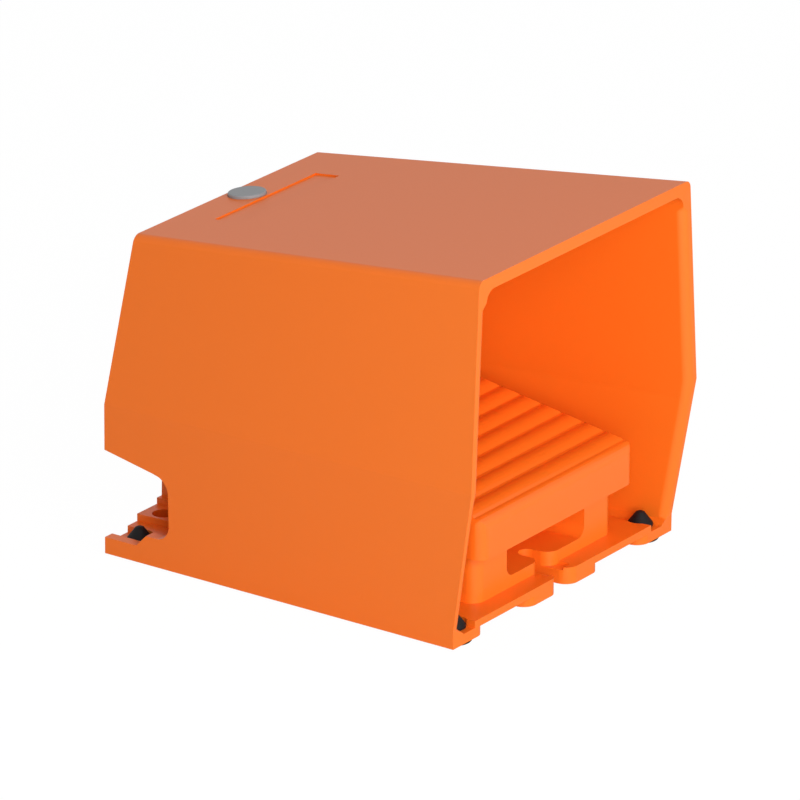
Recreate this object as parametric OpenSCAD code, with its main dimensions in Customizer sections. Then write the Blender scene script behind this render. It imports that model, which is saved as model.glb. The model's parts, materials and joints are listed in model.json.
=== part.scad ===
// Industrial foot switch with a one-piece hood, base and switch housing, a ribbed
// pedal on a front hinge, and a release button in the rear of the hood's top.
// Millimetres.  The modules draw in a working frame whose Y starts at the front
// edge of the base and runs to the rear, with Z = 0 at the underside of the base;
// place() moves that frame to the centre of the part, standing on its feet.

/* [Base] */
// Width of the base at its front edge
base_w = 144; // [136:1:152]
// Length of the base from front edge to rear edge
base_l = 157.4; // [156:0.1:162]
// Height of the base plate's upper face
plate_top = 6.3; // [5.8:0.1:7]
// Height of the base plate's underside between the pads
plate_bottom = 3.5; // [3.2:0.1:3.8]
// Height of the channel floor beside each side wall
channel_floor = 3.8; // [3.4:0.1:4.4]
// Width of the channel beside each side wall
channel_w = 9.4; // [9:0.1:10.5]
// Play between the bottom cover and the rails beside it
cover_play = 0.4; // [0.3:0.1:1]
// Half width of the front pad around the fixing slot
front_pad_half = 24; // [20:0.5:30]
// Radius of the pad corners and slot mouth
pad_r = 5; // [3:0.5:6]
// Height of the square front toe under the side walls
toe_h = 6.5; // [4:0.5:9]

/* [Hood] */
// Wall thickness of the hood
wall = 4.5; // [3.5:0.1:5.5]
// Wall thickness of the rear of the hood
rear_wall = 4; // [3.2:0.1:5]
// Angle by which each side wall closes in towards the rear, degrees
taper_deg = 3.97; // [3:0.1:5]
// Angle by which each side wall opens outwards below the crease, degrees
flare_deg = 1.39; // [0.5:0.1:2]
// Angle by which each side wall leans inwards above the crease, degrees
lean_deg = 3.93; // [2.5:0.1:5]
// Slope of the top, down to the rear, degrees
top_slope_deg = 5.09; // [3:0.1:7]
// How far the front knee stands ahead of the base
knee_ahead = 8.7; // [6:0.1:11]
// Height of the front knee
knee_front_z = 59.7; // [54:0.5:65]
// Height of the rear knee
knee_rear_z = 57.4; // [54:0.2:64]
// How far the rear knee stands ahead of the rear edge of the base
knee_rear_in = 1.5; // [0.5:0.1:2.5]
// How far the front top edge stands ahead of the base
top_ahead = 8.3; // [6:0.1:11]
// Height of the front top edge
top_front_z = 136.2; // [130:0.5:142]
// How far the rear top edge stands ahead of the rear edge of the base
top_rear_in = 13; // [12.5:0.1:17]
// Outer radius along the top side edges
top_r = 3; // [2:0.5:6]
// Inner radius along the top side edges
top_inner_r = 5; // [3:0.5:7]
// Half width of the label recess
label_half = 32; // [25:1:38]
// Front to rear length of the label recess
label_l = 10.4; // [8:0.2:12]
// Depth of the label recess
label_depth = 0.6; // [0.4:0.1:1]
// Distance from the rear top edge to the label recess
label_in = 15.9; // [15.5:0.1:20]

/* [Rear cut-outs] */
// Length of each cut-out from the rear edge
cut_l = 30; // [27:0.5:34]
// Height of the cut-out's top at its front end
cut_top_z = 34.5; // [32:0.5:38]
// Slope of the cut-out's top edge, degrees
cut_slope_deg = 11; // [8:0.5:13]
// Height of the wall stub in front of the low rim
stub_z = 11; // [10:0.2:13]
// Length of the low rim at the rear
rim_l = 14.6; // [13:0.2:17]

/* [Housing] */
// Half width of the housing's rear neck
neck_half = 26; // [25:0.5:28]
// Distance from the base's front edge to the housing's front wall
house_y = 8; // [7:0.2:8.4]
// Distance from the base's front edge to the rear of the housing's wide part
house_rear = 106; // [105:0.5:108]
// Height of the housing's roof
house_top = 36; // [36:0.2:37]
// Wall thickness of the housing
house_wall = 4; // [3:0.1:4.5]
// Thickness of the housing's roof
roof_t = 3; // [2.5:0.1:3.4]
// Half width of the window over the fixing slot
window_half = 25.5; // [20:0.5:30]
// Radius of the window's lower corners
window_r = 4; // [2:0.5:6]
// Height of the window's sill
sill_z = 10.7; // [9.5:0.1:12]
// Height of the window's head
window_top = 25; // [23:0.2:26]
// Rear face of the window pocket
window_rear = 30; // [28:0.2:31]

/* [Fixing] */
// Width of the front fixing slot
slot_w = 7; // [5.5:0.1:8]
// Distance from the front edge to the centre of the slot's round end
slot_end_y = 15.6; // [13:0.1:18]
// Diameter of each rear fixing hole
hole_d = 8.4; // [6.4:0.1:9]
// Distance of each rear fixing hole from the middle
hole_x = 35.5; // [34.5:0.1:36]
// Distance of each rear fixing hole from the rear edge
hole_in = 7.9; // [7:0.1:9]
// Height of the pad around each rear fixing hole
hole_pad_z = 9.0; // [8.4:0.1:9.6]
// Height of the step beside the neck
step_z = 11.4; // [10.6:0.1:12.4]

/* [Feet] */
// Diameter of the foot's head
foot_d = 12; // [10:0.2:12.4]
// How far the feet stand below the base
foot_proud = 1; // [0.6:0.1:1.6]
// Diameter of the foot's stem
foot_stem_d = 7.4; // [6:0.1:7.8]
// Diameter of the foot's barb
foot_barb_d = 9.4; // [8.2:0.1:9.8]
// Height of the barb above the channel floor
foot_barb_h = 5.6; // [4:0.1:6.4]
// Distance from the front edge to the front feet
foot_front_y = 7; // [6.8:0.1:9]
// Distance from the rear edge to the rear feet
foot_rear_in = 8.9; // [7.4:0.1:10]

/* [Pedal] */
// Half width of the pedal
pedal_half = 50.4; // [49.5:0.1:51.5]
// Distance from the base's front edge to the pedal's lip
pedal_y = 2.4; // [1.6:0.1:3]
// Distance from the base's front edge to the pedal's rear end
pedal_rear = 112; // [111.5:0.1:113]
// Height of the pedal's top at the base's front edge
pedal_z = 40.5; // [40.2:0.1:42]
// Slope of the pedal's top, up to the rear, degrees
pedal_slope_deg = 10.75; // [10.4:0.05:11.5]
// Height of the lip's lower edge
lip_z = 25; // [24:0.1:26]
// Slope of the skirts' lower edge, degrees
skirt_slope_deg = 5.7; // [4:0.1:6.5]
// Wall thickness of the pedal
pedal_wall = 3; // [2.5:0.1:3.2]
// Distance between the tread ribs along Y
rib_pitch = 8.93; // [8:0.05:10]
// Depth of the tread ribs
rib_depth = 1.6; // [1:0.1:1.8]
// Corner radius of the pedal
pedal_r = 5; // [3:0.5:6]
// Travel of the pedal, degrees
pedal_travel = 8; // [6:0.5:8]

/* [Hinge] */
// Diameter of the hinge pin
pin_d = 5; // [4.6:0.1:5.4]
// Distance from the base's front edge to the hinge pin
pin_y = 18; // [17.5:0.1:18.5]
// Height of the hinge pin
pin_z = 32; // [31.6:0.1:32.2]
// Outer diameter of the hinge bushes
bush_d = 7.5; // [7.2:0.1:7.8]
// Outer diameter of the flange on each bush
bush_flange_d = 11; // [9:0.2:12]
// Thickness of the flange on each bush
bush_flange_t = 2; // [1.4:0.1:2.6]
// Thickness of each retaining clip
clip_t = 0.8; // [0.6:0.1:1]

/* [Springs] */
// Wire diameter of the return springs
spring_wire = 1.2; // [1:0.05:1.3]
// Outer diameter of the return springs
spring_d = 9.6; // [8.5:0.1:10.4]
// Turns in each return spring
spring_turns = 6; // [5:0.5:6.5]
// Distance of each return spring from the middle
spring_x = 28; // [24:0.5:31]
// Distance from the base's front edge to the return springs
spring_y = 95; // [92:0.5:97]
// Depth of the spring seats in the roof
seat_depth = 1.5; // [1:0.1:1.8]

/* [Actuator] */
// Distance from the base's front edge to the plunger
plunger_y = 62; // [60:0.5:64]
// Diameter of the plunger
plunger_d = 8; // [7.4:0.1:8.4]
// Diameter of the plunger's head
plunger_head_d = 12; // [10:0.2:13]
// Outer diameter of the plunger's guide bush
guide_d = 12; // [11.4:0.1:12.4]
// Outer diameter of the plunger's wiper seal
wiper_d = 14; // [13.4:0.1:14.6]

/* [Contact block] */
// Half length of the contact block along X
block_half = 19; // [18:0.2:20]
// Half depth of the contact block along Y
block_depth = 13.5; // [13:0.1:14.5]
// Height of the contact block's top
block_top = 26; // [25.8:0.1:26.2]
// Height of the contact block's underside
block_bottom = 5.5; // [5.2:0.1:5.8]
// Wall thickness of the contact block
block_wall = 1.6; // [1.2:0.1:2]
// Distance of each pole from the block's middle along Y
pole_y = 8; // [7.8:0.1:8.2]
// Distance of the terminals from the middle
terminal_x = 23.5; // [23:0.1:24]

/* [Cover] */
// Thickness of the bottom cover
cover_t = 2.5; // [2:0.1:2.6]
// Thickness of the cover gasket
gasket_t = 0.8; // [0.5:0.1:1]
// Diameter of the bosses for the cover screws
cover_boss_d = 11; // [9:0.5:12]

/* [Cable entry] */
// Height of the cable entry's axis
entry_z = 21; // [20.5:0.1:21.5]
// Diameter of the cable entry's thread
entry_d = 20; // [18:0.1:20.6]
// How far the cable entry's collar stands behind the base
entry_collar = 0.2; // [0:0.1:1]

/* [Release button] */
// Diameter of the release button
button_d = 14.1; // [12:0.1:14.4]
// How far the button stands above the hood
button_proud = 1.2; // [0.5:0.1:1.4]
// Travel of the release button
button_travel = 2.5; // [2:0.1:2.6]
// Distance from the rear top edge to the button's centre
button_in = 7.9; // [7.8:0.1:9]
// Diameter of the button's stem
stem_d = 6; // [5.5:0.1:6.4]
// Diameter of the push rod
rod_d = 4; // [3.5:0.1:4.4]

/* [Latch] */
// Distance from the latch pin back to the rod's tip
latch_reach = 6.5; // [6:0.1:7]
// Height of the latch pin above the roof
latch_h = 7; // [6.5:0.1:7.5]
// Diameter of the latch pin
latch_pin_d = 4; // [3.6:0.1:4.2]
// Width of the latch lever
latch_w = 10; // [8:0.5:12]
// Room for a spring on each side of the latch lever
ear_gap = 6; // [5:0.5:8]
// Thickness of each ear that holds the latch pin
ear_t = 3; // [2.5:0.5:4]

/* [Fits] */
// Running clearance of pins and plungers, radial
run_fit = 0.05; // [0.03:0.01:0.1]
// Loose clearance of screws and seated pieces, radial
loose_fit = 0.15; // [0.1:0.01:0.25]
// Gap between moving pieces that only touch in use
touch_gap = 0.4; // [0.3:0.05:0.5]

/* [Hidden] */

big = 400;
eps = 0.01;
// Lap by which a round stands over the flats it blends into
seam = 0.003;
orange = [0.95, 0.42, 0.10];
grey = [0.60, 0.61, 0.62];

// Plan and side lines of the hood
half = base_w / 2;
taper = tan(taper_deg);
flare = tan(flare_deg);
lean = tan(lean_deg);
slope = tan(top_slope_deg);
knee_rear_y = base_l - knee_rear_in;
top_rear_y = base_l - top_rear_in;
mid_y = (base_l + entry_collar - knee_ahead) / 2;

// Height of the hood's top surface at a place along Y
function top_z(y) = top_front_z - slope * (y + top_ahead);
// Outer half width of the hood below the crease
function side_x(y, z) = half - taper * y + flare * z;
// Outer half width of the hood's top corner
function corner_x(y) = half - taper * y + flare * knee_front_z
                       - lean * (top_z(y) - knee_front_z - (knee_rear_z - knee_front_z)
                                 * (y + knee_ahead) / (knee_rear_y + knee_ahead));

top_rear_z = top_z(top_rear_y);
corner_turn = atan((corner_x(-top_ahead) - corner_x(top_rear_y)) / (top_rear_y + top_ahead));

// Pedal lines
pedal_rise = tan(pedal_slope_deg);
skirt_rise = tan(skirt_slope_deg);
function pedal_top(y) = pedal_z + pedal_rise * y;
function pedal_under(y) = pedal_top(y) - rib_depth - pedal_wall;
travel_rad = pedal_travel * PI / 180;
// The pad rolls over the plunger's head, so the plunger moves a little further than its lever
roll_add = 2;
plunger_travel = (plunger_y - pin_y + roll_add) * travel_rad;
spring_seat_z = pedal_under(spring_y) - 1.2;
press_z = pedal_under(plunger_y) - 1.6;

// Housing, sized to stand between the pedal's hinge bushes
house_half = pedal_half - pedal_wall - bush_flange_t - touch_gap;
roof_under = house_top - roof_t;
cavity_half = house_half - house_wall;
cavity_y0 = window_rear + house_wall;
cavity_y1 = house_rear - house_wall;
neck_y1 = base_l - 0.9 - house_wall;
cover_bottom = plate_bottom - gasket_t - cover_t;
cover_half = cavity_half + 2.5;
cover_screw_x = cavity_half - cover_boss_d / 2 + 0.5;
cover_y0 = window_rear + 0.5;
cover_y1 = house_rear - 0.5;
cover_screw_y = [cavity_y0 + cover_boss_d / 2 + 0.5, cavity_y1 - cover_boss_d / 2 - 0.5];
rail_x = cover_half + cover_play + taper * cover_y1;

// Contact block levels
lid_t = 1.5;
block_floor = block_bottom + lid_t;
bridge_z = 20.4;
bridge_t = 0.6;
strip_t = 0.6;
tip_h = 0.3;
no_strip_top = bridge_z - plunger_travel - touch_gap - tip_h;
nc_strip_bottom = bridge_z + bridge_t + touch_gap + tip_h;
carrier_bottom = 18.5;
carrier_top = 29.5;
ear_z = 22.5;
ear_x = 24.5;

// Release button and latch
button_y = top_rear_y - button_in;
boss_l = 16;
boss_floor_t = 3;
latch_z = house_top + latch_h;
arm_top = 4;
rod_tip_z = latch_z + arm_top + touch_gap;
rod_len = (top_z(button_y) - rod_tip_z) / cos(top_slope_deg);
rod_tip_y = button_y - rod_len * sin(top_slope_deg);
latch_y = rod_tip_y - latch_reach;

foot_to_wall = foot_barb_d / 2 + touch_gap + 0.2;
foot_front_x = side_x(foot_front_y, 0) - wall - foot_to_wall;
foot_rear_x = side_x(base_l - foot_rear_in, 0) - wall - foot_to_wall;

module place() { translate([0, -mid_y, foot_proud]) children(); }

// Drawn on both sides of the middle plane
module both() { children(); mirror([1, 0, 0]) children(); }

// Extrudes a Y-Z outline along X, centred
module side_form(width) {
  rotate([90, 0, 90]) linear_extrude(height = width, center = true) children();
}

// Block with round vertical corners
module soft_block(x_half, y0, y1, z0, z1, r) {
  translate([0, 0, z0]) linear_extrude(height = z1 - z0) union() {
    translate([-x_half + r, y0]) square([2 * (x_half - r), y1 - y0]);
    translate([-x_half, y0 + r]) square([2 * x_half, y1 - y0 - 2 * r]);
    for (x = [-x_half + r, x_half - r], y = [y0 + r, y1 - r]) translate([x, y]) circle(r, $fn = 48);
  }
}

// Plain block given by its limits
module span(x0, x1, y0, y1, z0, z1) {
  translate([x0, y0, z0]) cube([x1 - x0, y1 - y0, z1 - z0]);
}

module bar_x(d, x0, x1, y, z) {
  translate([x0, y, z]) rotate([0, 90, 0]) cylinder(d = d, h = x1 - x0, $fn = 64);
}

module bar_z(d, x, y, z0, z1) {
  translate([x, y, z0]) cylinder(d = d, h = z1 - z0, $fn = 64);
}

module bar_y(d, y0, y1) {
  translate([0, y0, entry_z]) rotate([-90, 0, 0]) cylinder(d = d, h = y1 - y0, $fn = 96);
}

// Coil spring along Z, standing on z = 0, with half a flat turn at each end
module coil(d, wire, length, turns) {
  sides = 6;
  steps = 12;
  count = round(turns * steps);
  r = (d - wire) / 2;
  rise = length - wire;
  function turn_z(a) = rise * max(0, min(1, (a - 0.5) / (turns - 1)));
  points = [for (i = [0:count], k = [0:sides - 1])
              let (a = i / steps, w = 360 * k / sides, q = r + wire / 2 * cos(w))
              [q * cos(360 * a), q * sin(360 * a), wire / 2 + turn_z(a) + wire / 2 * sin(w)]];
  faces = concat(
    [[for (k = [0:sides - 1]) k]],
    [for (i = [0:count - 1], k = [0:sides - 1])
       [i * sides + k, (i + 1) * sides + k, (i + 1) * sides + (k + 1) % sides, i * sides + (k + 1) % sides]],
    [[for (k = [sides - 1:-1:0]) count * sides + k]]);
  polyhedron(points = points, faces = faces, convexity = 8);
}

// ---- Hooded base ---------------------------------------------------------

// Section of one upper side: top line, round corner and leaning wall
module upper_section(in_top, in_side, r) {
  roll = atan2(-sin(top_slope_deg) * sin(corner_turn), cos(corner_turn));
  corner = [-in_side / cos(lean_deg) - in_top * tan(lean_deg), -in_top];
  left = [-cos(roll), -sin(roll)];
  down = [sin(lean_deg), -cos(lean_deg)];
  open = acos(left * down);
  mid = (left + down) / norm(left + down);
  reach = r / tan(open / 2);
  union() {
    polygon([corner + reach * left, corner + half * 1.2 * left, corner + half * 1.2 * left + [0, -big],
             corner + big * down, corner + reach * down]);
    translate(corner + r / sin(open / 2) * mid) circle(r + seam, $fn = 96);
  }
}

// One side of the hood as a solid, from the middle plane out to its walls
module hood_side(in_top, in_side, r) {
  intersection() {
    translate([corner_x(-top_ahead), -top_ahead, top_front_z]) rotate([0, 0, corner_turn])
      rotate([-top_slope_deg, 0, 0]) rotate([90, 0, 0])
        linear_extrude(height = big * 2, center = true) upper_section(in_top, in_side, r);
    translate([half - in_side, 0, 0]) rotate([0, 0, taper_deg]) rotate([0, flare_deg, 0])
      translate([-big, -big, -big]) cube([big, 2 * big, 2 * big]);
    translate([0, -big, -big]) cube([big, 2 * big, 2 * big]);
  }
}

// Side outline of the whole moulding
module hood_outline() {
  rise = (top_front_z - knee_front_z) * 1.2;
  front_run = (knee_ahead - top_ahead) * 1.2;
  rear_run = (knee_rear_y - top_rear_y) / (top_rear_z - knee_rear_z);
  polygon([[0, 0], [0, toe_h], [-knee_ahead, knee_front_z], [-knee_ahead + front_run, knee_front_z + rise],
           [knee_rear_y - rear_run * rise, knee_rear_z + rise], [knee_rear_y, knee_rear_z], [base_l, 0]]);
}

// Side outline of the room inside the hood, open to the front
module room_outline() {
  rise = (top_front_z - knee_front_z) * 1.2;
  rear_run = (knee_rear_y - top_rear_y) / (top_rear_z - knee_rear_z);
  rear = knee_rear_y - rear_wall;
  polygon([[-big / 4, plate_top], [-big / 4, knee_rear_z + rise], [rear - rear_run * rise, knee_rear_z + rise],
           [rear, knee_rear_z], [rear, plate_top]]);
}

module hood_shell() {
  difference() {
    intersection() {
      both() hood_side(0, 0, top_r);
      side_form(big) hood_outline();
    }
    intersection() {
      both() hood_side(wall, wall, top_inner_r);
      side_form(big) room_outline();
    }
  }
}

// Opening at each rear corner, as a Y-Z outline
module cut_outline() {
  y0 = base_l - cut_l;
  bend = 7;
  low = 6;
  top_y = base_l + 5;
  difference() {
    polygon([[y0, stub_z], [y0, cut_top_z], [top_y, cut_top_z + tan(cut_slope_deg) * (top_y - y0)],
             [top_y, plate_top], [base_l - rim_l, plate_top], [base_l - rim_l - (stub_z - plate_top), stub_z]]);
    difference() {
      translate([y0 - 1, cut_top_z - bend]) square([bend + 1, bend * 2]);
      translate([y0 + bend, cut_top_z - bend + bend * tan(cut_slope_deg / 2)]) circle(bend, $fn = 96);
      translate([y0 + bend, cut_top_z - bend]) square([bend, bend * 2]);
    }
    difference() {
      translate([y0 - 1, stub_z - 1]) square([low + 1, low + 1]);
      translate([y0 + low, stub_z + low]) circle(low, $fn = 96);
    }
  }
}

// Fixing slot in plan: straight sides, round end and a rounded mouth at y = mouth
module slot_plan(mouth) {
  r = slot_w / 2;
  union() {
    translate([-r, mouth - 5]) square([2 * r, slot_end_y - mouth + 5]);
    translate([0, slot_end_y]) circle(r, $fn = 96);
    difference() {
      translate([-r - pad_r, mouth - 5]) square([2 * (r + pad_r), pad_r + 5]);
      for (x = [-r - pad_r, r + pad_r]) translate([x, mouth + pad_r]) circle(pad_r, $fn = 96);
      translate([-r - 2 * pad_r, mouth + pad_r - eps]) square([4 * pad_r + 2 * r, 1]);
    }
  }
}

module housing_outside() {
  soft_block(house_half, house_y, house_rear, plate_bottom, house_top, pad_r);
  span(-neck_half, neck_half, house_rear - 10, base_l - 0.9, plate_bottom, house_top);
  // Rear wall of the hood carried down to the neck
  span(-neck_half, neck_half, knee_rear_y - rear_wall, base_l - 0.9, plate_bottom, cut_top_z + 12);
  bar_y(entry_d + 7, base_l - 8, base_l + entry_collar);
  // Steps around the rear fixing holes
  both() {
    span(0, neck_half + 2.6, base_l - 24, base_l - eps, plate_bottom, step_z);
    difference() {
      span(0, hole_x + 5.5, base_l - 20, base_l - eps, plate_bottom, hole_pad_z);
      bar_z(hole_d, hole_x, base_l - hole_in, 0, house_top);
    }
  }
}

module housing_inside() {
  difference() {
    union() {
      span(-cavity_half, cavity_half, cavity_y0, cavity_y1, -1, roof_under);
      span(-neck_half + house_wall, neck_half - house_wall, cavity_y1 - 1, neck_y1, plate_top, roof_under);
    }
    both() {
      for (y = cover_screw_y) bar_z(cover_boss_d, cover_screw_x, y, plate_bottom, 16);
      bar_z(7, ear_x, plunger_y, block_top, house_top);
    }
    bar_z(guide_d + 6, 0, plunger_y, 28, house_top);
  }
}

module under_recess() {
  run = taper * (base_l - 4);
  difference() {
    translate([0, 0, -1]) linear_extrude(height = plate_bottom + 1) union() {
      polygon([[-rail_x, -1], [rail_x, -1], [rail_x - run, base_l - 4], [-rail_x + run, base_l - 4]]);
      // Round inner corners of the front corner pads
      for (s = [-1, 1]) difference() {
        translate([s * (rail_x + pad_r / 2), pad_r / 2 - 1]) square([pad_r + 1, pad_r + 2], center = true);
        translate([s * (rail_x + pad_r), pad_r]) circle(pad_r, $fn = 96);
        translate([s * (rail_x + pad_r), pad_r * 1.5]) square([2 * pad_r, pad_r], center = true);
      }
    }
    soft_block(front_pad_half, 0, window_rear - 4, -2, plate_bottom + 1, pad_r);
    both() bar_z(hole_d + 7, hole_x, base_l - hole_in, -2, plate_bottom + 1);
  }
}

module foot_hole(x, y) {
  bar_z(foot_stem_d + 2 * loose_fit, x, y, -1, plate_top);
  bar_z(foot_d + 4 * loose_fit, x, y, -1, 2.1);
  bar_z(foot_barb_d + 2 * touch_gap, x, y, channel_floor, plate_top + 3);
}

module on_button() {
  translate([0, button_y, top_z(button_y)]) rotate([-top_slope_deg, 0, 0]) children();
}

module latch_ears() {
  both() translate([latch_w / 2 + ear_gap + ear_t / 2, 0, 0]) side_form(ear_t) union() {
    translate([latch_y, latch_z]) circle(5, $fn = 64);
    translate([latch_y - 5, house_top - 1]) square([10, latch_h + 1]);
  }
}

module hooded_base() color(orange) place() {
  difference() {
    union() {
      difference() {
        hood_shell();
        // Channels beside the walls
        both() translate([half - wall, 0, channel_floor]) rotate([0, 0, taper_deg])
          translate([-channel_w, -20, 0]) cube([channel_w + 0.2, base_l + 40, plate_top]);
        // Rear corner openings through the side walls and the rear wall
        difference() {
          side_form(big) cut_outline();
          span(-neck_half, neck_half, -1, big, -1, big);
        }
      }
      // Bevel at the foot of each side wall
      both() intersection() {
        translate([half - wall, 0, channel_floor]) rotate([0, 0, taper_deg]) rotate([90, 0, 0])
          linear_extrude(height = base_l * 2, center = true) polygon([[-2.4, 0], [0.6, 0], [0.6, 2]]);
        span(0, big, 0, base_l - 1, 0, big);
      }
      housing_outside();
      // Guide boss under the release button
      intersection() {
        on_button() translate([0, 0, -boss_l]) cylinder(d = button_d + 5, h = boss_l - 1, $fn = 96);
        side_form(big) hood_outline();
      }
      latch_ears();
    }
    housing_inside();
    under_recess();
    // Window over the slot
    rotate([90, 0, 0]) translate([0, 0, -window_rear]) linear_extrude(height = window_rear) union() {
      translate([-window_half, sill_z + window_r]) square([2 * window_half, window_top - sill_z - window_r]);
      translate([-window_half + window_r, sill_z]) square([2 * (window_half - window_r), window_r + 1]);
      for (x = [-window_half + window_r, window_half - window_r]) translate([x, sill_z + window_r])
        circle(window_r, $fn = 64);
    }
    // Front fixing slot: one mouth at the plate's edge, one at the housing's wall
    translate([0, 0, -1]) linear_extrude(height = plate_top + 1) slot_plan(0);
    translate([0, 0, plate_top - 1]) linear_extrude(height = sill_z - plate_top + 1.5) slot_plan(house_y);
    both() {
      bar_z(hole_d, hole_x, base_l - hole_in, -1, hole_pad_z + 1);
      foot_hole(foot_front_x, foot_front_y);
      foot_hole(foot_rear_x, base_l - foot_rear_in);
      for (y = cover_screw_y) bar_z(3.4, cover_screw_x, y, 0, 14);
      bar_z(3, ear_x, plunger_y, block_top - 1, 31.5);
      bar_z(spring_d + 1, spring_x, spring_y, house_top - seat_depth, house_top + 1);
    }
    bar_x(pin_d + 2 * run_fit, -house_half - 1, house_half + 1, pin_y, pin_z);
    bar_x(latch_pin_d + 2 * run_fit, -latch_w - ear_gap - ear_t, latch_w + ear_gap + ear_t, latch_y, latch_z);
    bar_z(guide_d + 2 * run_fit, 0, plunger_y, 20, house_top);
    bar_z(wiper_d + 2 * run_fit, 0, plunger_y, house_top - 2, house_top + 1);
    bar_y(entry_d + 2 * loose_fit, base_l - 20, base_l + 5);
    // Release button bore, spring pocket and stem bore
    on_button() {
      translate([0, 0, -boss_l + boss_floor_t]) cylinder(d = button_d + 2 * loose_fit, h = boss_l + 5, $fn = 96);
      translate([0, 0, -boss_l - 2]) cylinder(d = stem_d + 2 * run_fit, h = boss_l, $fn = 64);
    }
    // Label recess
    translate([0, top_rear_y - label_in, top_z(top_rear_y - label_in)]) rotate([-top_slope_deg, 0, 0])
      translate([-label_half, -label_l, -label_depth]) cube([2 * label_half, label_l, 5]);
  }
}

// ---- Pedal ---------------------------------------------------------------

module pedal_outline() {
  steps = 8;
  y1 = pedal_rear - 2;
  y0 = pedal_y + 3;
  count = ceil((y1 - y0) / rib_pitch * steps);
  rib_start = 10.4;
  wave = [for (i = [0:count]) let (y = y0 + (y1 - y0) * i / count)
            [y, pedal_top(y) - rib_depth * (1 - pow(abs(cos(180 * (y - rib_start) / rib_pitch)), 0.8))]];
  nose = [for (a = [180:-15:105]) [pedal_y + 4 + 4 * cos(a), pedal_top(pedal_y) - 4.3 + 4 * sin(a)]];
  polygon(concat([[pedal_y, lip_z]], nose, wave,
                 [[pedal_rear, pedal_top(pedal_rear) - 2.5],
                  [pedal_rear, lip_z + skirt_rise * (pedal_rear - pedal_y)]]));
}

module pedal() color(orange) place() {
  r = 4;
  difference() {
    union() {
      difference() {
        intersection() {
          side_form(2 * pedal_half + 2) pedal_outline();
          soft_block(pedal_half, pedal_y, pedal_rear, 0, 80, pedal_r);
          // Soft side edges along the sloping top
          translate([0, 0, pedal_z]) rotate([pedal_slope_deg, 0, 0]) rotate([90, 0, 0])
            linear_extrude(height = big, center = true) union() {
              translate([-pedal_half, -80]) square([2 * pedal_half, 80 - r]);
              translate([-pedal_half + r, -80]) square([2 * (pedal_half - r), 80]);
              for (x = [-pedal_half + r, pedal_half - r]) translate([x, -r]) circle(r, $fn = 64);
            }
        }
        side_form(2 * (pedal_half - pedal_wall)) polygon([
          [pedal_y + pedal_wall, 0], [pedal_y + pedal_wall, pedal_under(pedal_y + pedal_wall)],
          [pedal_rear - pedal_wall, pedal_under(pedal_rear - pedal_wall)], [pedal_rear - pedal_wall, 0]]);
        // The rear wall is short, so that it clears the neck when pressed
        span(-pedal_half + pedal_wall, pedal_half - pedal_wall, pedal_rear - 20, pedal_rear + 1, 0,
             pedal_under(pedal_rear) - 5);
      }
      both() bar_z(spring_d + 2, spring_x, spring_y, spring_seat_z, spring_seat_z + 3);
      bar_z(10, 0, plunger_y, press_z, press_z + 3.5);
      // Stiffening ribs across the underside
      for (y = [40, 78]) span(-pedal_half + 1, pedal_half - 1, y - 1, y + 1, pedal_under(y) - 3, pedal_under(y) + 1.2);
    }
    bar_x(bush_d, -pedal_half - 1, pedal_half + 1, pin_y, pin_z);
  }
}

// ---- Hinge ---------------------------------------------------------------

module hinge_pin() color("silver") place() {
  bar_x(pin_d, -pedal_half - 2.2, pedal_half + 2.2, pin_y, pin_z);
}

module hinge_bushes() color("goldenrod") place() {
  both() difference() {
    union() {
      bar_x(bush_d, pedal_half - pedal_wall, pedal_half, pin_y, pin_z);
      bar_x(bush_flange_d, pedal_half - pedal_wall - bush_flange_t, pedal_half - pedal_wall, pin_y, pin_z);
    }
    bar_x(pin_d + 2 * run_fit, house_half - 1, pedal_half + 1, pin_y, pin_z);
  }
}

module pin_clips() color("dimgray") place() {
  both() difference() {
    bar_x(pin_d + 5, pedal_half + touch_gap, pedal_half + touch_gap + clip_t, pin_y, pin_z);
    bar_x(pin_d + 0.02, pedal_half, pedal_half + 3, pin_y, pin_z);
    span(pedal_half, pedal_half + 3, pin_y - 1.6, pin_y + 1.6, pin_z - 9, pin_z);
  }
}

module return_springs() color("silver") place() {
  both() translate([spring_x, spring_y, house_top - seat_depth])
    coil(spring_d, spring_wire, spring_seat_z - house_top + seat_depth, spring_turns);
}

// ---- Actuator and contact block -------------------------------------------

module plunger() color("ivory") place() {
  bar_z(plunger_d, 0, plunger_y, carrier_top + 3.5, press_z - touch_gap - 2);
  bar_z(5.6, 0, plunger_y, carrier_top, carrier_top + 3.5);
  translate([0, plunger_y, press_z - touch_gap - 2]) {
    cylinder(d = plunger_head_d, h = 1, $fn = 64);
    translate([0, 0, 1]) cylinder(d1 = plunger_head_d, d2 = plunger_head_d - 4, h = 1, $fn = 64);
  }
}

module plunger_guide() color("white") place() {
  difference() {
    bar_z(guide_d, 0, plunger_y, 28, house_top - 2);
    bar_z(plunger_d + 2 * run_fit, 0, plunger_y, 27, house_top);
  }
}

module plunger_wiper() color([0.1, 0.1, 0.1]) place() {
  difference() {
    union() {
      bar_z(wiper_d, 0, plunger_y, house_top - 2, house_top);
      translate([0, plunger_y, house_top]) cylinder(d1 = wiper_d - 1.5, d2 = plunger_d + 1.6, h = 1, $fn = 64);
    }
    bar_z(plunger_d + 2 * run_fit, 0, plunger_y, house_top - 3, house_top + 2);
  }
}

module at_block() { translate([0, plunger_y, 0]) children(); }

// A fixed strip's level: the closing pole in front, the opening pole behind
function pole_side(k) = k == 0 ? -1 : 1;
function strip_z(k) = k == 0 ? no_strip_top - strip_t : nc_strip_bottom;

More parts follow.
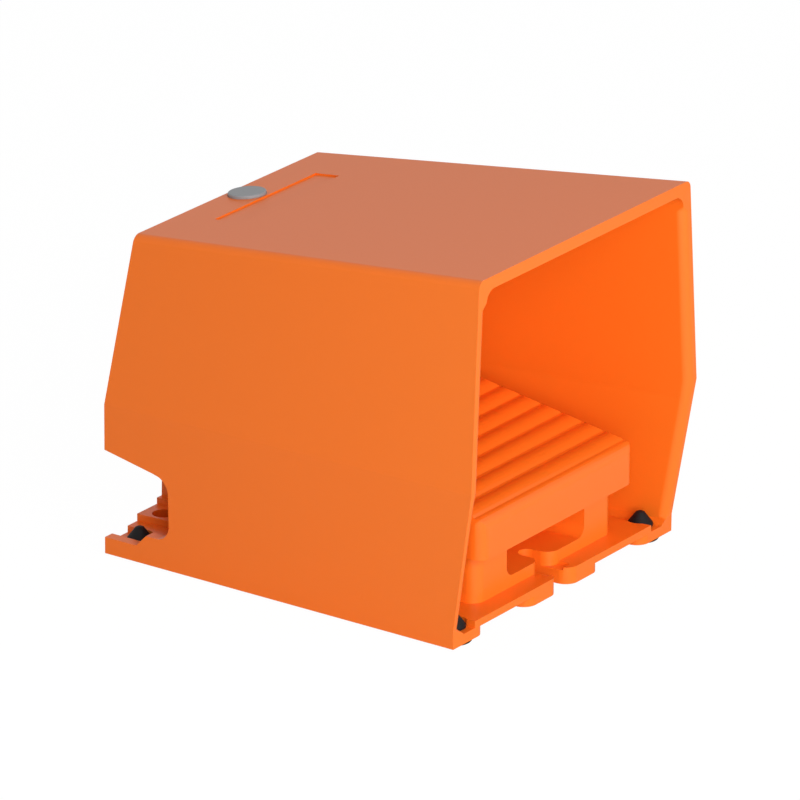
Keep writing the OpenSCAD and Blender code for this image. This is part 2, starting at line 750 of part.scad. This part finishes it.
module contact_block() color([0.20, 0.21, 0.22]) place() at_block() {
  difference() {
    union() {
      span(-block_half, block_half, -block_depth, block_depth, block_bottom, block_top);
      both() {
        span(0, ear_x + 3.5, -3.2, 3.2, ear_z, block_top);
        span(0, terminal_x + 4, -pole_y - 4, -pole_y + 4, strip_z(0) + strip_t, strip_z(0) + strip_t + 4.4);
        span(0, terminal_x + 4, pole_y - 4, pole_y + 4, strip_z(1) + strip_t, block_top);
      }
    }
    span(-block_half + block_wall, block_half - block_wall, -block_depth + block_wall, block_depth - block_wall,
         block_bottom - 1, block_top - block_wall);
    bar_z(6 + 2 * run_fit, 0, 0, 20, block_top + 1);
    both() {
      for (k = [0, 1]) {
        span(10, block_half + 5, pole_side(k) * pole_y - 2.6, pole_side(k) * pole_y + 2.6,
             strip_z(k) - 0.05, strip_z(k) + strip_t);
        bar_z(3.2, terminal_x, pole_side(k) * pole_y, strip_z(k), strip_z(k) + strip_t + 3.6);
      }
      bar_z(3.2, ear_x, 0, 20, block_top + 1);
    }
  }
}

module contact_block_lid() color([0.28, 0.29, 0.30]) place() at_block() {
  gap = 0.1;
  span(-block_half + block_wall + gap, block_half - block_wall - gap, -block_depth + block_wall + gap,
       block_depth - block_wall - gap, block_bottom, block_floor);
  bar_z(2.6, 0, 0, block_floor - eps, block_floor + 3);
}

module contact_carrier() color("white") place() at_block() {
  bar_z(6, 0, 0, carrier_bottom + 3, carrier_top);
  difference() {
    span(-3, 3, -pole_y - 3.4, pole_y + 3.4, carrier_bottom, carrier_bottom + 4.8);
    for (s = [-1, 1]) span(-4, 4, s * pole_y - 2, s * pole_y + 2, bridge_z, bridge_z + bridge_t);
  }
}

module moving_bridges() color("goldenrod") place() at_block() {
  for (s = [-1, 1]) span(-11, 11, s * pole_y - 2, s * pole_y + 2, bridge_z, bridge_z + bridge_t);
}

module fixed_contacts() color("goldenrod") place() at_block() {
  both() for (k = [0, 1]) {
    tip_z = k == 0 ? strip_z(0) + strip_t - eps : strip_z(1) - tip_h;
    difference() {
      span(7.5, terminal_x + 3.5, pole_side(k) * pole_y - 2.5, pole_side(k) * pole_y + 2.5,
           strip_z(k), strip_z(k) + strip_t);
      bar_z(3.2, terminal_x, pole_side(k) * pole_y, strip_z(k) - 1, strip_z(k) + 2);
    }
    bar_z(3, 9.4, pole_side(k) * pole_y, tip_z, tip_z + tip_h + eps);
  }
}

module terminal_clamps() color("gold") place() at_block() {
  both() for (k = [0, 1]) difference() {
    span(terminal_x - 3.2, terminal_x + 3.2, pole_side(k) * pole_y - 3, pole_side(k) * pole_y + 3,
         strip_z(k) - 0.9, strip_z(k));
    bar_z(3.2, terminal_x, pole_side(k) * pole_y, strip_z(k) - 2, strip_z(k) + 1);
  }
}

// Slotted pan-head screw whose head hangs below z = 0 and whose shank rises above it
module screw_up(d, head_d, head_h, length) {
  difference() {
    union() {
      translate([0, 0, -head_h]) cylinder(d1 = head_d - 1, d2 = head_d, h = head_h * 0.45, $fn = 48);
      translate([0, 0, -head_h * 0.55]) cylinder(d = head_d, h = head_h * 0.55, $fn = 48);
      cylinder(d = d, h = length, $fn = 48);
    }
    translate([-head_d, -0.4, -head_h - 1]) cube([2 * head_d, 0.8, 1.7]);
  }
}

module terminal_screws() color("gold") place() at_block() {
  both() for (k = [0, 1]) translate([terminal_x, pole_side(k) * pole_y, strip_z(k) - 0.9])
    screw_up(3, 5.6, 1.8, 4.6);
}

module contact_spring() color("silver") place() at_block() {
  translate([0, 0, block_floor]) coil(5, 0.6, carrier_bottom - block_floor, 6);
}

module block_screws() color("silver") place() at_block() {
  both() translate([ear_x, 0, ear_z]) screw_up(2.8, 5.2, 1.8, 8.4);
}

// ---- Cover -------------------------------------------------

module bottom_cover() color([0.95, 0.42, 0.10]) place() {
  difference() {
    soft_block(cover_half, cover_y0, cover_y1, cover_bottom, cover_bottom + cover_t, 3);
    both() for (y = cover_screw_y) {
      bar_z(3.6, cover_screw_x, y, -2, plate_bottom);
      bar_z(7.6, cover_screw_x, y, -2, cover_bottom + cover_t - 0.9);
    }
  }
}

module cover_gasket() color([0.1, 0.1, 0.1]) place() {
  difference() {
    soft_block(cover_half, cover_y0, cover_y1, plate_bottom - gasket_t, plate_bottom, 3);
    span(-cavity_half, cavity_half, cavity_y0, cavity_y1, 0, plate_bottom + 1);
  }
}

module cover_screws() color("silver") place() {
  both() for (y = cover_screw_y) translate([cover_screw_x, y, cover_bottom + cover_t - 0.9])
    screw_up(3.2, 7, 1.4, 11);
}

// ---- Feet ------------------------------------------------------------------

module foot(x, y) {
  head_top = 2;
  translate([x, y, 0]) rotate_extrude($fn = 64) union() {
    polygon([[0, -foot_proud], [foot_d / 2 - 1.2, -foot_proud], [foot_d / 2, -foot_proud + 1],
             [foot_d / 2, head_top], [foot_stem_d / 2, head_top], [foot_stem_d / 2, channel_floor + 0.1],
             [foot_barb_d / 2, channel_floor + 0.1], [foot_barb_d / 2, channel_floor + 1.2],
             [1.6, channel_floor + foot_barb_h - 0.4], [0.8, channel_floor + foot_barb_h],
             [0, channel_floor + foot_barb_h]]);
  }
}

module rubber_feet() color([0.07, 0.07, 0.07]) place() {
  both() {
    foot(foot_front_x, foot_front_y);
    foot(foot_rear_x, base_l - foot_rear_in);
  }
}

// ---- Release button and latch ------------------------------------------------

module release_button() color(grey) place() on_button() {
  difference() {
    union() {
      translate([0, 0, button_proud - 0.4]) cylinder(d1 = button_d, d2 = button_d - 0.8, h = 0.4, $fn = 96);
      translate([0, 0, -3.2]) cylinder(d = button_d, h = 2.8 + button_proud, $fn = 96);
      translate([0, 0, -boss_l - 8]) cylinder(d = stem_d, h = boss_l + 5, $fn = 64);
    }
    translate([0, 0, -boss_l - 9]) cylinder(d = rod_d + 2 * run_fit, h = 7, $fn = 64);
  }
}

module release_spring() color("silver") place() on_button() {
  translate([0, 0, -boss_l + boss_floor_t]) coil(stem_d + 5, 0.9, boss_l - boss_floor_t - 3.2, 5);
}

module release_clip() color("dimgray") place() on_button() {
  difference() {
    translate([0, 0, -boss_l - touch_gap - 0.8]) cylinder(d = stem_d + 4, h = 0.8, $fn = 64);
    translate([0, 0, -boss_l - 3]) cylinder(d = stem_d + 0.02, h = 5, $fn = 64);
    translate([-1.8, 0, -boss_l - 3]) cube([3.6, 9, 5]);
  }
}

module push_rod() color("silver") place() on_button() {
  translate([0, 0, -rod_len + rod_d / 2]) cylinder(d = rod_d, h = rod_len - rod_d / 2 - boss_l - 2, $fn = 64);
  translate([0, 0, -rod_len + rod_d / 2]) rotate([0, 0, 0]) sphere(d = rod_d, $fn = 48);
}

// Bell crank: the rear arm lies under the rod, the front arm ends in the catch
module latch_lever() color([0.85, 0.85, 0.82]) place() {
  difference() {
    union() {
      bar_x(10, -latch_w / 2, latch_w / 2, latch_y, latch_z);
      translate([0, latch_y, latch_z]) side_form(latch_w)
        polygon([[-4, -1], [-5.4, 3.2], [-7.6, 3.2], [-7.6, 4.4], [-3.6, 9], [-1.5, 9], [0.8, arm_top - 0.5],
                 [4, arm_top], [10, arm_top], [10, 0.6], [4, -1]]);
    }
    bar_x(latch_pin_d + 2 * run_fit, -latch_w, latch_w, latch_y, latch_z);
  }
}

module latch_pin() color("silver") place() {
  reach = latch_w / 2 + ear_gap + ear_t + 0.6;
  bar_x(latch_pin_d, -reach, reach, latch_y, latch_z);
}

module latch_spring() color("silver") place() {
  both() translate([latch_w / 2 + touch_gap, latch_y, latch_z]) rotate([0, 90, 0])
    coil(latch_pin_d + 3.4, 0.8, ear_gap - 2 * touch_gap, 3);
}

hooded_base();
pedal();
hinge_pin();
hinge_bushes();
pin_clips();
return_springs();
plunger();
plunger_guide();
plunger_wiper();
contact_block();
contact_block_lid();
contact_carrier();
moving_bridges();
fixed_contacts();
terminal_clamps();
terminal_screws();
contact_spring();
block_screws();
bottom_cover();
cover_gasket();
cover_screws();
rubber_feet();
release_button();
release_spring();
release_clip();
push_rod();
latch_lever();
latch_pin();
latch_spring();
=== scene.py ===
"""Industrial foot switch: finishes, softened mouldings, studio and camera."""

import json
import math

import bmesh
import bpy
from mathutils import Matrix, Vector


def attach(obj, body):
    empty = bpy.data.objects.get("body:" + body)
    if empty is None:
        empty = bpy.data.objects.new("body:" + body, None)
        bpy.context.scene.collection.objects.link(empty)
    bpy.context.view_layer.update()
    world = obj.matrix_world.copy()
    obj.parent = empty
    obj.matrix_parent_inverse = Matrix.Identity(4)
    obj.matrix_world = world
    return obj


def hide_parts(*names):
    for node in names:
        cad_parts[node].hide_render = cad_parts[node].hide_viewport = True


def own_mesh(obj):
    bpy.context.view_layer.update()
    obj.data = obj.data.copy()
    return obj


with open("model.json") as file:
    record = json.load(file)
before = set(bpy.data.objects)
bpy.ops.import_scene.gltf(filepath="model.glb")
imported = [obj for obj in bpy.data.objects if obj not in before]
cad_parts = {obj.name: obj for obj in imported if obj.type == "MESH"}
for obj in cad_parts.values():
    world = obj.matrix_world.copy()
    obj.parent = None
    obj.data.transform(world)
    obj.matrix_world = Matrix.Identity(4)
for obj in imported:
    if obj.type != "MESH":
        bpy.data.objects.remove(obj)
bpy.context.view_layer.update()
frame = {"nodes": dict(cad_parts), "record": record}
nodes = frame["nodes"]

MM = 0.001

# ---- Camera ------------------------------------------------------------------

CAMERA_PLACE = (-2.3393, -1.5642, 1.0549)
CAMERA_AZIMUTH = math.radians(56.30)
CAMERA_ELEVATION = math.radians(19.51)
CAMERA_LENS = 374.6


def add_camera():
    """A long lens low in front of the switch, to its left."""
    data = bpy.data.cameras.new("camera")
    data.lens = CAMERA_LENS
    data.sensor_width = 36.0
    data.clip_end = 50.0
    camera = bpy.data.objects.new("camera", data)
    bpy.context.scene.collection.objects.link(camera)
    camera.location = CAMERA_PLACE
    camera.rotation_euler = (math.radians(90) - CAMERA_ELEVATION, 0, -CAMERA_AZIMUTH)
    bpy.context.scene.camera = camera


# ---- Finishes ------------------------------------------------------------------


def new_finish(name):
    """An empty material and its node tree's shader."""
    finish = bpy.data.materials.new(name)
    finish.use_nodes = True
    return finish, finish.node_tree.nodes["Principled BSDF"]


def add_grain(finish, shader, scale, strength, height):
    """Fine grain on the surface, in the piece's own coordinates."""
    tree = finish.node_tree
    place = tree.nodes.new("ShaderNodeTexCoord")
    noise = tree.nodes.new("ShaderNodeTexNoise")
    noise.inputs["Scale"].default_value = scale
    noise.inputs["Detail"].default_value = 3.0
    bump = tree.nodes.new("ShaderNodeBump")
    bump.inputs["Strength"].default_value = strength
    bump.inputs["Distance"].default_value = height
    tree.links.new(place.outputs["Object"], noise.inputs["Vector"])
    tree.links.new(noise.outputs["Fac"], bump.inputs["Height"])
    tree.links.new(bump.outputs["Normal"], shader.inputs["Normal"])
    return noise


def moulded_plastic(name, colour, roughness, grain=0.12):
    """Satin moulded plastic with a fine grain."""
    finish, shader = new_finish(name)
    shader.inputs["Base Color"].default_value = (*colour, 1)
    shader.inputs["Roughness"].default_value = roughness
    shader.inputs["Specular IOR Level"].default_value = 0.42
    add_grain(finish, shader, 1400.0, grain, 0.00012)
    return finish


def black_rubber():
    """Matt black rubber of the feet, wiper and gasket."""
    finish, shader = new_finish("matt_rubber")
    shader.inputs["Base Color"].default_value = (0.007, 0.007, 0.008, 1)
    shader.inputs["Roughness"].default_value = 0.62
    shader.inputs["Specular IOR Level"].default_value = 0.25
    add_grain(finish, shader, 900.0, 0.2, 0.0001)
    return finish


def bright_metal(name, colour, roughness):
    """Plain or plated metal with a faint brushed grain."""
    finish, shader = new_finish(name)
    shader.inputs["Base Color"].default_value = (*colour, 1)
    shader.inputs["Metallic"].default_value = 1.0
    shader.inputs["Roughness"].default_value = roughness
    add_grain(finish, shader, 600.0, 0.05, 0.00005)
    return finish


FINISHES = {
    "hood_plastic": moulded_plastic("hood_orange", (0.975, 0.190, 0.012), 0.36),
    "pedal_plastic": moulded_plastic("pedal_orange", (0.975, 0.180, 0.012), 0.28),
    "button_plastic": moulded_plastic("button_grey", (0.315, 0.325, 0.34), 0.40, 0.05),
    "plunger_plastic": moulded_plastic("plunger_acetal", (0.78, 0.76, 0.70), 0.35, 0.05),
    "bush_plastic": moulded_plastic("bush_acetal", (0.62, 0.55, 0.36), 0.40, 0.05),
    "block_plastic": moulded_plastic("block_black", (0.02, 0.02, 0.022), 0.45),
    "rubber": black_rubber(),
    "steel": bright_metal("bright_steel", (0.60, 0.60, 0.61), 0.28),
    "spring_steel": bright_metal("spring_steel", (0.42, 0.42, 0.43), 0.32),
    "plated_steel": bright_metal("zinc_plate", (0.66, 0.65, 0.60), 0.34),
    "contact_metal": bright_metal("contact_brass", (0.76, 0.56, 0.26), 0.30),
}


def dress_nodes():
    """Every CAD node takes the finish of its slot."""
    for entry in frame["record"]["subparts"]:
        piece = nodes[entry["node"]]
        piece.data.materials.clear()
        piece.data.materials.append(FINISHES[entry["material_slot"]])


# ---- Softened mouldings ----------------------------------------------------------

# Rear cut-out of the hood's sides, in mm in the frame
CUT_FRONT = 52.95
CUT_TOP = 35.5
CUT_BEND = 7.0
CUT_SLOPE = 11.0
ON_BEND = 0.03

# Inner edge of the mouth from the roof down: across, along, height and radius
MOUTH_EDGE = (
    (64.24, -82.80, 128.30, 0.15),
    (64.40, -82.81, 126.00, 3.3),
    (68.90, -83.15, 60.70, 3.3),
    (69.30, -82.00, 53.66, 3.3),
    (67.72, -74.73, 9.24, 3.3),
    (67.70, -74.45, 7.60, 3.3),
    (67.70, -74.45, 6.50, 0.15),
)
MOUTH_STEPS = 8
CUT_CLEAR = 1.0

# Way back along the mouth's side wall, inward and rearward
WALL_BACK = (0.07, 0.9975)

# Centres of the feet, across and along, in mm in the frame
FRONT_FEET = (61.714, -67.45)
REAR_FEET = (51.894, 74.05)

# Feet below these heights spread by these shares
SOLE_TOP = 0.25
SOLE_SPREAD = 6.5 / 4.8
HEAD_TOP = 0.75
HEAD_SPREAD = 7.0 / 5.4


def pick(piece):
    """Selects only this piece."""
    bpy.ops.object.select_all(action="DESELECT")
    piece.select_set(True)
    bpy.context.view_layer.objects.active = piece


def fair_cut_bend(mesh):
    """The upper bend of the rear cut-out runs tangent into its slope."""
    slope = math.radians(CUT_SLOPE)
    y_bend = CUT_FRONT + CUT_BEND
    true_z = CUT_TOP + CUT_BEND * math.tan(slope) - CUT_BEND / math.cos(slope)
    rough_z = CUT_TOP - CUT_BEND + CUT_BEND * math.tan(slope / 2)
    y_meet = y_bend - CUT_BEND * math.sin(slope)
    for vert in mesh.verts:
        y, z = vert.co.y / MM, vert.co.z / MM
        if not CUT_FRONT - 0.01 <= y <= y_bend + 0.02:
            continue
        if z < CUT_TOP - CUT_BEND - 0.1:
            continue
        if abs(math.hypot(y - y_bend, z - rough_z) - CUT_BEND) > ON_BEND:
            continue
        if y < y_meet:
            want = true_z + math.sqrt(max(0.0, CUT_BEND**2 - (y - y_bend) ** 2))
        else:
            want = CUT_TOP + (y - CUT_FRONT) * math.tan(slope)
        rise = max(0.0, want - z) * MM
        walls = [face for face in vert.link_faces if abs(face.normal.x) > 0.8]
        if walls:
            normal = max(walls, key=lambda face: face.calc_area()).normal
            vert.co.x -= normal.z * rise / normal.x
        vert.co.z += rise


def fuller_heads(mesh):
    """The feet's soft heads spread a little where they meet the floor."""
    for vert in mesh.verts:
        x, y, z = (value / MM for value in vert.co)
        if z > HEAD_TOP:
            continue
        across, along = FRONT_FEET if y < 0 else REAR_FEET
        across = math.copysign(across, x)
        spread = SOLE_SPREAD if z < SOLE_TOP else HEAD_SPREAD
        vert.co.x = (across + (x - across) * spread) * MM
        vert.co.y = (along + (y - along) * spread) * MM


def mouth_section(side, x, y, z, radius):
    """Outline of the cut that rounds the mouth's inner edge at one height."""
    back_x, back_y = -side * WALL_BACK[0], WALL_BACK[1]
    points = [(side * radius, -CUT_CLEAR)]
    for step in range(MOUTH_STEPS + 1):
        turn = math.radians(90) * step / MOUTH_STEPS
        across = radius * (1 - math.sin(turn))
        along = radius * (1 - math.cos(turn))
        points.append((side * across + back_x * along, back_y * along))
    points.append((back_x * radius - side * CUT_CLEAR, back_y * radius))
    points.append((-side * CUT_CLEAR, -CUT_CLEAR))
    return [((x + px) * MM, (y + py) * MM, z * MM) for px, py in points]


def mouth_cutter(side):
    """The solid that rounds the mouth's inner edge down one side."""
    rings = [mouth_section(side, side * x, y, z, r) for x, y, z, r in MOUTH_EDGE]
    count = len(rings[0])
    mesh = bpy.data.meshes.new("mouth_cutter")
    last = (len(rings) - 1) * count
    faces = [tuple(range(count)), tuple(range(last + count - 1, last - 1, -1))]
    for ring in range(len(rings) - 1):
        for corner in range(count):
            following = (corner + 1) % count
            low, high = ring * count, ring * count + count
            faces.append((low + following, low + corner, high + corner, high + following))
    mesh.from_pydata([point for ring in rings for point in ring], [], faces)
    solid = bmesh.new()
    solid.from_mesh(mesh)
    bmesh.ops.recalc_face_normals(solid, faces=solid.faces)
    solid.to_mesh(mesh)
    solid.free()
    cutter = bpy.data.objects.new("mouth_cutter", mesh)
    bpy.context.scene.collection.objects.link(cutter)
    return cutter


def round_mouth(piece):
    """The hood's mouth has a soft inner edge down both of its sides."""
    for side in (-1, 1):
        cutter = mouth_cutter(side)
        pick(piece)
        cut = piece.modifiers.new("mouth", "BOOLEAN")
        cut.operation = "DIFFERENCE"
        cut.solver = "EXACT"
        cut.object = cutter
        bpy.ops.object.modifier_apply(modifier="mouth")
        bpy.data.objects.remove(cutter, do_unlink=True)


def flatten_shading(piece, least=100.0):
    """Large flat faces keep their own normal right up to their corners."""
    mesh = piece.data
    normals = [corner.vector.copy() for corner in mesh.corner_normals]
    for face in mesh.polygons:
        if face.area > least * MM * MM:
            for loop in face.loop_indices:
                normals[loop] = face.normal.copy()
    mesh.normals_split_custom_set(normals)


def softened(node, slot, name, edge, segments=2, before=None, carve=None):
    """A copy of a moulding's solid with its sharp edges rounded."""
    source = nodes[node]
    piece = bpy.data.objects.new(name, source.data.copy())
    bpy.context.scene.collection.objects.link(piece)
    if carve:
        carve(piece)
    mesh = bmesh.new()
    mesh.from_mesh(piece.data)
    if before:
        before(mesh)
    bmesh.ops.remove_doubles(mesh, verts=mesh.verts, dist=0.01 * MM)
    bmesh.ops.dissolve_limit(
        mesh, angle_limit=math.radians(0.6), verts=mesh.verts, edges=mesh.edges
    )
    mesh.to_mesh(piece.data)
    mesh.free()
    pick(piece)
    bevel = piece.modifiers.new("edge", "BEVEL")
    bevel.width = edge
    bevel.segments = segments
    bevel.limit_method = "ANGLE"
    bevel.angle_limit = math.radians(32)
    bevel.use_clamp_overlap = True
    bevel.miter_outer = "MITER_ARC"
    bpy.ops.object.modifier_apply(modifier="edge")
    bpy.ops.object.shade_smooth_by_angle(angle=math.radians(32))
    flats = piece.modifiers.new("flats", "WEIGHTED_NORMAL")
    flats.mode = "FACE_AREA"
    flats.weight = 100
    flats.keep_sharp = True
    bpy.ops.object.modifier_apply(modifier="flats")
    flatten_shading(piece)
    piece.data.materials.clear()
    piece.data.materials.append(FINISHES[slot])
    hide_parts(node)
    return piece


def add_mouldings():
    """The hood, feet, pedal and button with their edges softened."""
    hood = softened(
        "hooded_base",
        "hood_plastic",
        "hood_moulding",
        0.6 * MM,
        before=fair_cut_bend,
        carve=round_mouth,
    )
    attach(hood, "base")
    feet = softened("rubber_feet", "rubber", "feet_heads", 0.2 * MM, before=fuller_heads)
    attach(feet, "base")
    pedal = softened("pedal", "pedal_plastic", "pedal_moulding", 0.5 * MM)
    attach(pedal, "pedal")
    button = softened("release_button", "button_plastic", "button_cap", 0.25 * MM)
    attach(button, "button")


# ---- Springs ---------------------------------------------------------------------

# Node, finish, joint that shortens it, line of the coil, its fixed end, share left
SPRINGS = (
    ("return_springs", "spring_steel", "pedal_hinge", (0, 0, 1), (0, 0.0205, 0.0356), 0.37),
    ("contact_spring", "spring_steel", "plunger_slide", (0, 0, 1), (0, -0.0125, 0.0080), 0.43),
    (
        "release_spring",
        "spring_steel",
        "button_slide",
        (0, 0.0887, 0.9961),
        (0, 0.0609, 0.1114),
        0.72,
    ),
)


def add_springs():
    """Coils stand on their seats in spring steel and ride with the base."""
    for node, slot, joint, axis, anchor, keep in SPRINGS:
        coil = bpy.data.objects.new(node + "_coils", nodes[node].data.copy())
        bpy.context.scene.collection.objects.link(coil)
        coil.data.materials.clear()
        coil.data.materials.append(FINISHES[slot])
        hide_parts(node)
        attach(coil, "base")
        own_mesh(coil)


# ---- Studio ----------------------------------------------------------------------


def add_floor():
    """A pale floor that shows white and keeps the switch's shadow."""
    bpy.ops.object.select_all(action="DESELECT")
    bpy.ops.mesh.primitive_plane_add(size=24.0, location=(0, 0, 0))
    floor = bpy.context.active_object
    floor.name = "studio_floor"
    finish, shader = new_finish("pale_floor")
    tree = finish.node_tree
    shader.inputs["Base Color"].default_value = (0.72, 0.72, 0.72, 1)
    shader.inputs["Roughness"].default_value = 0.9
    shader.inputs["Specular IOR Level"].default_value = 0.1
    glow = tree.nodes.new("ShaderNodeEmission")
    glow.inputs["Color"].default_value = (1, 1, 1, 1)
    glow.inputs["Strength"].default_value = 1.03
    path = tree.nodes.new("ShaderNodeLightPath")
    share = tree.nodes.new("ShaderNodeMath")
    share.operation = "MULTIPLY"
    share.inputs[1].default_value = 0.95
    mix = tree.nodes.new("ShaderNodeMixShader")
    out = tree.nodes["Material Output"]
    tree.links.new(path.outputs["Is Camera Ray"], share.inputs[0])
    tree.links.new(share.outputs[0], mix.inputs[0])
    tree.links.new(shader.outputs[0], mix.inputs[1])
    tree.links.new(glow.outputs[0], mix.inputs[2])
    tree.links.new(mix.outputs[0], out.inputs["Surface"])
    floor.data.materials.append(finish)


def add_world():
    """White to the camera, a dimmer sheen and soft grey light to the switch."""
    world = bpy.data.worlds.new("studio")
    bpy.context.scene.world = world
    world.use_nodes = True
    tree = world.node_tree
    light = tree.nodes["Background"]
    light.inputs["Color"].default_value = (1, 1, 1, 1)
    light.inputs["Strength"].default_value = 0.36
    white = tree.nodes.new("ShaderNodeBackground")
    white.inputs["Color"].default_value = (1, 1, 1, 1)
    white.inputs["Strength"].default_value = 1.0
    mirror = tree.nodes.new("ShaderNodeBackground")
    mirror.inputs["Color"].default_value = (1, 1, 1, 1)
    mirror.inputs["Strength"].default_value = 0.70
    path = tree.nodes.new("ShaderNodeLightPath")
    sheen = tree.nodes.new("ShaderNodeMixShader")
    tree.links.new(path.outputs["Is Glossy Ray"], sheen.inputs[0])
    tree.links.new(light.outputs[0], sheen.inputs[1])
    tree.links.new(mirror.outputs[0], sheen.inputs[2])
    mix = tree.nodes.new("ShaderNodeMixShader")
    tree.links.new(path.outputs["Is Camera Ray"], mix.inputs[0])
    tree.links.new(sheen.outputs[0], mix.inputs[1])
    tree.links.new(white.outputs[0], mix.inputs[2])
    tree.links.new(mix.outputs[0], tree.nodes["World Output"].inputs["Surface"])


def add_lamp(name, place, target, size, power):
    """A square soft lamp aimed at a point."""
    data = bpy.data.lights.new(name, "AREA")
    data.size = size
    data.energy = power
    lamp = bpy.data.objects.new(name, data)
    bpy.context.scene.collection.objects.link(lamp)
    lamp.location = place
    aim = Vector(target) - Vector(place)
    lamp.rotation_euler = aim.to_track_quat("-Z", "Y").to_euler()


# Lamp, place, size and power
LAMPS = (
    ("front_lamp", (-0.3, -1.7, 0.62), 1.2, 9.5),
    ("left_lamp", (-0.80, -0.90, 0.40), 0.7, 10.0),
    ("top_lamp", (-0.1, 0.3, 1.6), 1.2, 2.0),
)
SWITCH_MIDDLE = (0, 0, 0.06)


def add_studio():
    """Floor, world and the three lamps aimed at the switch."""
    add_floor()
    add_world()
    for name, place, size, power in LAMPS:
        add_lamp(name, place, SWITCH_MIDDLE, size, power)


bpy.context.scene.view_settings.view_transform = "Standard"
add_camera()
dress_nodes()
add_mouldings()
add_springs()
add_studio()
